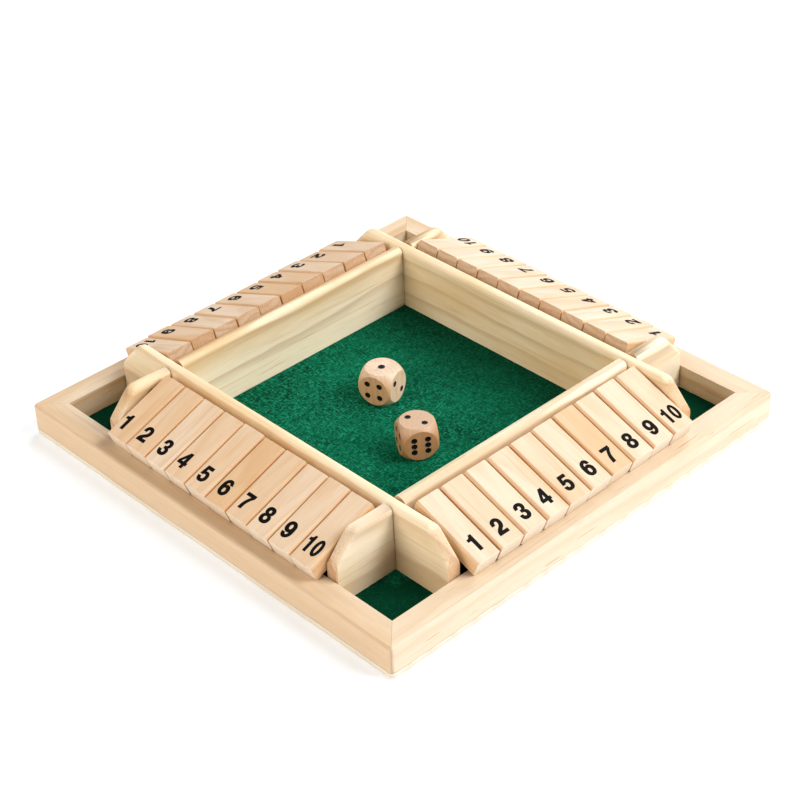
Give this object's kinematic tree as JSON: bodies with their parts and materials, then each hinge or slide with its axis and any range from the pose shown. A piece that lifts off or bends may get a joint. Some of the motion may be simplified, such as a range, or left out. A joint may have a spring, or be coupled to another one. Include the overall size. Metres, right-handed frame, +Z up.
{
  "type": "shut the box game",
  "caption": "Square wooden tray game for four players: a felt dice well ringed by low walls, a row of numbered flip tiles on a rod along each side, and dice.",
  "frame": {"origin": "middle of the tray's underside, on the table", "axes": "+Z up; each side's tiles face outward: south is -Y, east is +X, north is +Y, west is -X; in the picture south is the left front and east the right front"},
  "size_m": [0.222, 0.222, 0.0349],
  "materials": {
    "base_plywood": "thin plywood board, sanded edge, unvarnished",
    "green_felt": "dark green felt, matt",
    "rail_pine": "pale pine, sanded with softened edges, thin satin lacquer",
    "wall_pine": "pale pine with tan streaks, rounded top edge, thin satin lacquer",
    "rod_steel": "drawn steel rod, dull",
    "tile_pine": "pale pine, sanded with softened edges, black printed numbers, thin satin lacquer",
    "die_wood": "pale fine-grained hardwood, rounded, black sunk pips"
  },
  "bodies": {
    "tray": {"base_board": "base_plywood", "felt": "green_felt", "east_rail": "rail_pine", "north_rail": "rail_pine", "west_rail": "rail_pine", "south_rail": "rail_pine", "east_wall": "wall_pine", "north_wall": "wall_pine", "west_wall": "wall_pine", "south_wall": "wall_pine", "east_rod": "rod_steel", "north_rod": "rod_steel", "west_rod": "rod_steel", "south_rod": "rod_steel"},
    "east_tile_01": {"east_tile_01": "tile_pine"},
    "east_tile_02": {"east_tile_02": "tile_pine"},
    "east_tile_03": {"east_tile_03": "tile_pine"},
    "east_tile_04": {"east_tile_04": "tile_pine"},
    "east_tile_05": {"east_tile_05": "tile_pine"},
    "east_tile_06": {"east_tile_06": "tile_pine"},
    "east_tile_07": {"east_tile_07": "tile_pine"},
    "east_tile_08": {"east_tile_08": "tile_pine"},
    "east_tile_09": {"east_tile_09": "tile_pine"},
    "east_tile_10": {"east_tile_10": "tile_pine"},
    "north_tile_01": {"north_tile_01": "tile_pine"},
    "north_tile_02": {"north_tile_02": "tile_pine"},
    "north_tile_03": {"north_tile_03": "tile_pine"},
    "north_tile_04": {"north_tile_04": "tile_pine"},
    "north_tile_05": {"north_tile_05": "tile_pine"},
    "north_tile_06": {"north_tile_06": "tile_pine"},
    "north_tile_07": {"north_tile_07": "tile_pine"},
    "north_tile_08": {"north_tile_08": "tile_pine"},
    "north_tile_09": {"north_tile_09": "tile_pine"},
    "north_tile_10": {"north_tile_10": "tile_pine"},
    "west_tile_01": {"west_tile_01": "tile_pine"},
    "west_tile_02": {"west_tile_02": "tile_pine"},
    "west_tile_03": {"west_tile_03": "tile_pine"},
    "west_tile_04": {"west_tile_04": "tile_pine"},
    "west_tile_05": {"west_tile_05": "tile_pine"},
    "west_tile_06": {"west_tile_06": "tile_pine"},
    "west_tile_07": {"west_tile_07": "tile_pine"},
    "west_tile_08": {"west_tile_08": "tile_pine"},
    "west_tile_09": {"west_tile_09": "tile_pine"},
    "west_tile_10": {"west_tile_10": "tile_pine"},
    "south_tile_01": {"south_tile_01": "tile_pine"},
    "south_tile_02": {"south_tile_02": "tile_pine"},
    "south_tile_03": {"south_tile_03": "tile_pine"},
    "south_tile_04": {"south_tile_04": "tile_pine"},
    "south_tile_05": {"south_tile_05": "tile_pine"},
    "south_tile_06": {"south_tile_06": "tile_pine"},
    "south_tile_07": {"south_tile_07": "tile_pine"},
    "south_tile_08": {"south_tile_08": "tile_pine"},
    "south_tile_09": {"south_tile_09": "tile_pine"},
    "south_tile_10": {"south_tile_10": "tile_pine"},
    "die_1": {"die_1": "die_wood"},
    "die_2": {"die_2": "die_wood"}
  },
  "joints": [
    {"name": "east_tile_01_flip", "type": "hinge", "parent": "tray", "child": "east_tile_01", "pos_m": [0.0812, -0.05584, 0.0282], "axis": [0, -1, 0], "range_deg": [0, 156.5]},
    {"name": "east_tile_02_flip", "type": "hinge", "parent": "tray", "child": "east_tile_02", "pos_m": [0.0812, -0.04324, 0.0282], "axis": [0, -1, 0], "range_deg": [0, 156.5]},
    {"name": "east_tile_03_flip", "type": "hinge", "parent": "tray", "child": "east_tile_03", "pos_m": [0.0812, -0.03062, 0.0282], "axis": [0, -1, 0], "range_deg": [0, 156.5]},
    {"name": "east_tile_04_flip", "type": "hinge", "parent": "tray", "child": "east_tile_04", "pos_m": [0.0812, -0.01801, 0.0282], "axis": [0, -1, 0], "range_deg": [0, 156.5]},
    {"name": "east_tile_05_flip", "type": "hinge", "parent": "tray", "child": "east_tile_05", "pos_m": [0.0812, -0.00541, 0.0282], "axis": [0, -1, 0], "range_deg": [0, 156.5]},
    {"name": "east_tile_06_flip", "type": "hinge", "parent": "tray", "child": "east_tile_06", "pos_m": [0.0812, 0.0072, 0.0282], "axis": [0, -1, 0], "range_deg": [0, 156.5]},
    {"name": "east_tile_07_flip", "type": "hinge", "parent": "tray", "child": "east_tile_07", "pos_m": [0.0812, 0.01981, 0.0282], "axis": [0, -1, 0], "range_deg": [0, 156.5]},
    {"name": "east_tile_08_flip", "type": "hinge", "parent": "tray", "child": "east_tile_08", "pos_m": [0.0812, 0.03243, 0.0282], "axis": [0, -1, 0], "range_deg": [0, 156.5]},
    {"name": "east_tile_09_flip", "type": "hinge", "parent": "tray", "child": "east_tile_09", "pos_m": [0.0812, 0.04503, 0.0282], "axis": [0, -1, 0], "range_deg": [0, 156.5]},
    {"name": "east_tile_10_flip", "type": "hinge", "parent": "tray", "child": "east_tile_10", "pos_m": [0.0812, 0.05765, 0.0282], "axis": [0, -1, 0], "range_deg": [0, 149]},
    {"name": "north_tile_01_flip", "type": "hinge", "parent": "tray", "child": "north_tile_01", "pos_m": [0.05584, 0.0812, 0.0282], "axis": [1, 0, 0], "range_deg": [0, 156.5]},
    {"name": "north_tile_02_flip", "type": "hinge", "parent": "tray", "child": "north_tile_02", "pos_m": [0.04324, 0.0812, 0.0282], "axis": [1, 0, 0], "range_deg": [0, 156.5]},
    {"name": "north_tile_03_flip", "type": "hinge", "parent": "tray", "child": "north_tile_03", "pos_m": [0.03062, 0.0812, 0.0282], "axis": [1, 0, 0], "range_deg": [0, 156.5]},
    {"name": "north_tile_04_flip", "type": "hinge", "parent": "tray", "child": "north_tile_04", "pos_m": [0.01801, 0.0812, 0.0282], "axis": [1, 0, 0], "range_deg": [0, 156.5]},
    {"name": "north_tile_05_flip", "type": "hinge", "parent": "tray", "child": "north_tile_05", "pos_m": [0.00541, 0.0812, 0.0282], "axis": [1, 0, 0], "range_deg": [0, 156.5]},
    {"name": "north_tile_06_flip", "type": "hinge", "parent": "tray", "child": "north_tile_06", "pos_m": [-0.0072, 0.0812, 0.0282], "axis": [1, 0, 0], "range_deg": [0, 156.5]},
    {"name": "north_tile_07_flip", "type": "hinge", "parent": "tray", "child": "north_tile_07", "pos_m": [-0.01981, 0.0812, 0.0282], "axis": [1, 0, 0], "range_deg": [0, 156.5]},
    {"name": "north_tile_08_flip", "type": "hinge", "parent": "tray", "child": "north_tile_08", "pos_m": [-0.03243, 0.0812, 0.0282], "axis": [1, 0, 0], "range_deg": [0, 156.5]},
    {"name": "north_tile_09_flip", "type": "hinge", "parent": "tray", "child": "north_tile_09", "pos_m": [-0.04503, 0.0812, 0.0282], "axis": [1, 0, 0], "range_deg": [0, 156.5]},
    {"name": "north_tile_10_flip", "type": "hinge", "parent": "tray", "child": "north_tile_10", "pos_m": [-0.05765, 0.0812, 0.0282], "axis": [1, 0, 0], "range_deg": [0, 149]},
    {"name": "west_tile_01_flip", "type": "hinge", "parent": "tray", "child": "west_tile_01", "pos_m": [-0.0812, 0.05584, 0.0282], "axis": [0, 1, 0], "range_deg": [0, 156.5]},
    {"name": "west_tile_02_flip", "type": "hinge", "parent": "tray", "child": "west_tile_02", "pos_m": [-0.0812, 0.04324, 0.0282], "axis": [0, 1, 0], "range_deg": [0, 156.5]},
    {"name": "west_tile_03_flip", "type": "hinge", "parent": "tray", "child": "west_tile_03", "pos_m": [-0.0812, 0.03062, 0.0282], "axis": [0, 1, 0], "range_deg": [0, 156.5]},
    {"name": "west_tile_04_flip", "type": "hinge", "parent": "tray", "child": "west_tile_04", "pos_m": [-0.0812, 0.01801, 0.0282], "axis": [0, 1, 0], "range_deg": [0, 156.5]},
    {"name": "west_tile_05_flip", "type": "hinge", "parent": "tray", "child": "west_tile_05", "pos_m": [-0.0812, 0.00541, 0.0282], "axis": [0, 1, 0], "range_deg": [0, 156.5]},
    {"name": "west_tile_06_flip", "type": "hinge", "parent": "tray", "child": "west_tile_06", "pos_m": [-0.0812, -0.0072, 0.0282], "axis": [0, 1, 0], "range_deg": [0, 156.5]},
    {"name": "west_tile_07_flip", "type": "hinge", "parent": "tray", "child": "west_tile_07", "pos_m": [-0.0812, -0.01981, 0.0282], "axis": [0, 1, 0], "range_deg": [0, 156.5]},
    {"name": "west_tile_08_flip", "type": "hinge", "parent": "tray", "child": "west_tile_08", "pos_m": [-0.0812, -0.03243, 0.0282], "axis": [0, 1, 0], "range_deg": [0, 156.5]},
    {"name": "west_tile_09_flip", "type": "hinge", "parent": "tray", "child": "west_tile_09", "pos_m": [-0.0812, -0.04503, 0.0282], "axis": [0, 1, 0], "range_deg": [0, 156.5]},
    {"name": "west_tile_10_flip", "type": "hinge", "parent": "tray", "child": "west_tile_10", "pos_m": [-0.0812, -0.05765, 0.0282], "axis": [0, 1, 0], "range_deg": [0, 149]},
    {"name": "south_tile_01_flip", "type": "hinge", "parent": "tray", "child": "south_tile_01", "pos_m": [-0.05584, -0.0812, 0.0282], "axis": [-1, 0, 0], "range_deg": [0, 156.5]},
    {"name": "south_tile_02_flip", "type": "hinge", "parent": "tray", "child": "south_tile_02", "pos_m": [-0.04324, -0.0812, 0.0282], "axis": [-1, 0, 0], "range_deg": [0, 156.5]},
    {"name": "south_tile_03_flip", "type": "hinge", "parent": "tray", "child": "south_tile_03", "pos_m": [-0.03062, -0.0812, 0.0282], "axis": [-1, 0, 0], "range_deg": [0, 156.5]},
    {"name": "south_tile_04_flip", "type": "hinge", "parent": "tray", "child": "south_tile_04", "pos_m": [-0.01801, -0.0812, 0.0282], "axis": [-1, 0, 0], "range_deg": [0, 156.5]},
    {"name": "south_tile_05_flip", "type": "hinge", "parent": "tray", "child": "south_tile_05", "pos_m": [-0.00541, -0.0812, 0.0282], "axis": [-1, 0, 0], "range_deg": [0, 156.5]},
    {"name": "south_tile_06_flip", "type": "hinge", "parent": "tray", "child": "south_tile_06", "pos_m": [0.0072, -0.0812, 0.0282], "axis": [-1, 0, 0], "range_deg": [0, 156.5]},
    {"name": "south_tile_07_flip", "type": "hinge", "parent": "tray", "child": "south_tile_07", "pos_m": [0.01981, -0.0812, 0.0282], "axis": [-1, 0, 0], "range_deg": [0, 156.5]},
    {"name": "south_tile_08_flip", "type": "hinge", "parent": "tray", "child": "south_tile_08", "pos_m": [0.03243, -0.0812, 0.0282], "axis": [-1, 0, 0], "range_deg": [0, 156.5]},
    {"name": "south_tile_09_flip", "type": "hinge", "parent": "tray", "child": "south_tile_09", "pos_m": [0.04503, -0.0812, 0.0282], "axis": [-1, 0, 0], "range_deg": [0, 156.5]},
    {"name": "south_tile_10_flip", "type": "hinge", "parent": "tray", "child": "south_tile_10", "pos_m": [0.05765, -0.0812, 0.0282], "axis": [-1, 0, 0], "range_deg": [0, 149]},
    {"name": "die_1_lift", "type": "slide", "parent": "tray", "child": "die_1", "axis": [0, 0, 1], "range_m": [0, 0.08]},
    {"name": "die_2_lift", "type": "slide", "parent": "tray", "child": "die_2", "axis": [0, 0, 1], "range_m": [0, 0.08]}
  ]
}
